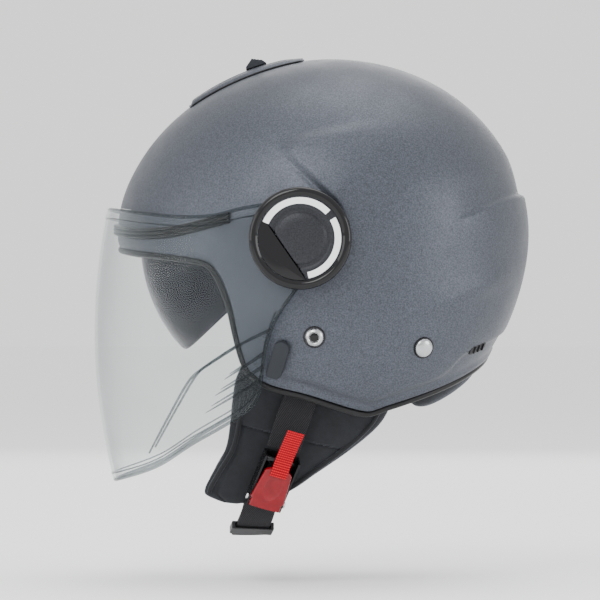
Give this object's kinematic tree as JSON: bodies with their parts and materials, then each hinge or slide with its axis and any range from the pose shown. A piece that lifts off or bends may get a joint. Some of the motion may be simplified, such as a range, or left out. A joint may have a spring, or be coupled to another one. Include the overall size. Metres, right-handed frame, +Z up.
{
  "type": "open face motorcycle helmet",
  "caption": "Open face motorcycle helmet with a clear face shield, drop-down sun visor, round hinge covers, padded lining and a ratchet chin buckle.",
  "frame": {"origin": "centre of the wearer's head, between the temples", "axes": "-X points forwards out of the face, +Z up through the crown, -Y towards the wearer's left ear"},
  "size_m": [0.2888, 0.2648, 0.32],
  "materials": {
    "shell_paint": "matt metallic grey paint",
    "cowl_paint": "matt grey paint",
    "foam": "black expanded foam",
    "lining_fabric": "brushed black lining fabric",
    "black_rubber": "black rubber",
    "clear_shield": "clear hard-coated polycarbonate",
    "smoke_visor": "smoke tinted polycarbonate",
    "gloss_black": "gloss black plastic",
    "steel": "bright steel",
    "rivet_steel": "polished steel",
    "satin_black": "satin black plastic",
    "black_steel": "black coated steel",
    "webbing": "black woven polyester webbing",
    "red_lever": "dark red plastic",
    "red_ribbon": "red woven ribbon"
  },
  "bodies": {
    "helmet": {"brow_seal": "black_rubber", "buckle_channel": "black_steel", "buckle_pin": "steel", "buckle_roller": "black_steel", "cheek_pad_left": "lining_fabric", "cheek_pad_right": "lining_fabric", "crown_pad": "lining_fabric", "edge_trim": "black_rubber", "hinge_cover_left": "gloss_black", "hinge_cover_right": "gloss_black", "hinge_nut_left": "steel", "hinge_nut_right": "steel", "hinge_plinth_left": "gloss_black", "hinge_plinth_right": "gloss_black", "hinge_screw_left": "steel", "hinge_screw_right": "steel", "impact_liner": "foam", "neck_roll": "lining_fabric", "rear_vent_left": "satin_black", "rear_vent_right": "satin_black", "shell": "shell_paint", "strap_left": "webbing", "strap_right": "webbing", "strap_rivet_front_left": "rivet_steel", "strap_rivet_front_right": "rivet_steel", "strap_rivet_rear_left": "rivet_steel", "strap_rivet_rear_right": "rivet_steel", "strap_slider": "satin_black", "toothed_strip": "satin_black", "top_vent_cowl": "cowl_paint"},
    "shield": {"face_shield": "clear_shield"},
    "sun": {"sun_visor": "smoke_visor", "sun_visor_hub_left": "satin_black", "sun_visor_hub_right": "satin_black"},
    "sun_slide": {"sun_visor_lever": "satin_black"},
    "vent": {"top_vent_slide": "satin_black"},
    "tab_left": {"release_tab_left": "gloss_black"},
    "tab_right": {"release_tab_right": "gloss_black"},
    "buckle": {"buckle_lever": "red_lever", "pull_ribbon": "red_ribbon"}
  },
  "joints": [
    {"name": "shield_hinge", "type": "hinge", "parent": "helmet", "child": "shield", "pos_m": [-0.02, 0, -0.004], "axis": [0, 1, 0], "range_deg": [0, 58]},
    {"name": "sun_visor_swing", "type": "hinge", "parent": "helmet", "child": "sun", "pos_m": [-0.02, 0, -0.004], "axis": [0, 1, 0], "range_deg": [0, 40]},
    {"name": "sun_visor_slide", "type": "slide", "parent": "helmet", "child": "sun_slide", "axis": [0.2851, -0.3211, 0.9031], "range_m": [0, 0.012]},
    {"name": "top_vent_travel", "type": "slide", "parent": "helmet", "child": "vent", "axis": [0.9488, 0, 0.3159], "range_m": [0, 0.006]},
    {"name": "release_left", "type": "slide", "parent": "helmet", "child": "tab_left", "axis": [0, 1, 0], "range_m": [0, 0.0016], "stiffness_N_per_m": 400},
    {"name": "release_right", "type": "slide", "parent": "helmet", "child": "tab_right", "axis": [0, -1, 0], "range_m": [0, 0.0016], "stiffness_N_per_m": 400},
    {"name": "buckle_lever_hinge", "type": "hinge", "parent": "helmet", "child": "buckle", "pos_m": [-0.04274, -0.07015, -0.17451], "axis": [0.9335, 0.233, -0.2725], "range_deg": [0, 40], "stiffness_Nm_per_rad": 0.02, "springref_deg": -20.05}
  ],
  "couplings": [
    {"joint": "sun_visor_slide", "follows": "sun_visor_swing", "m_per_rad": 0.017045}
  ]
}
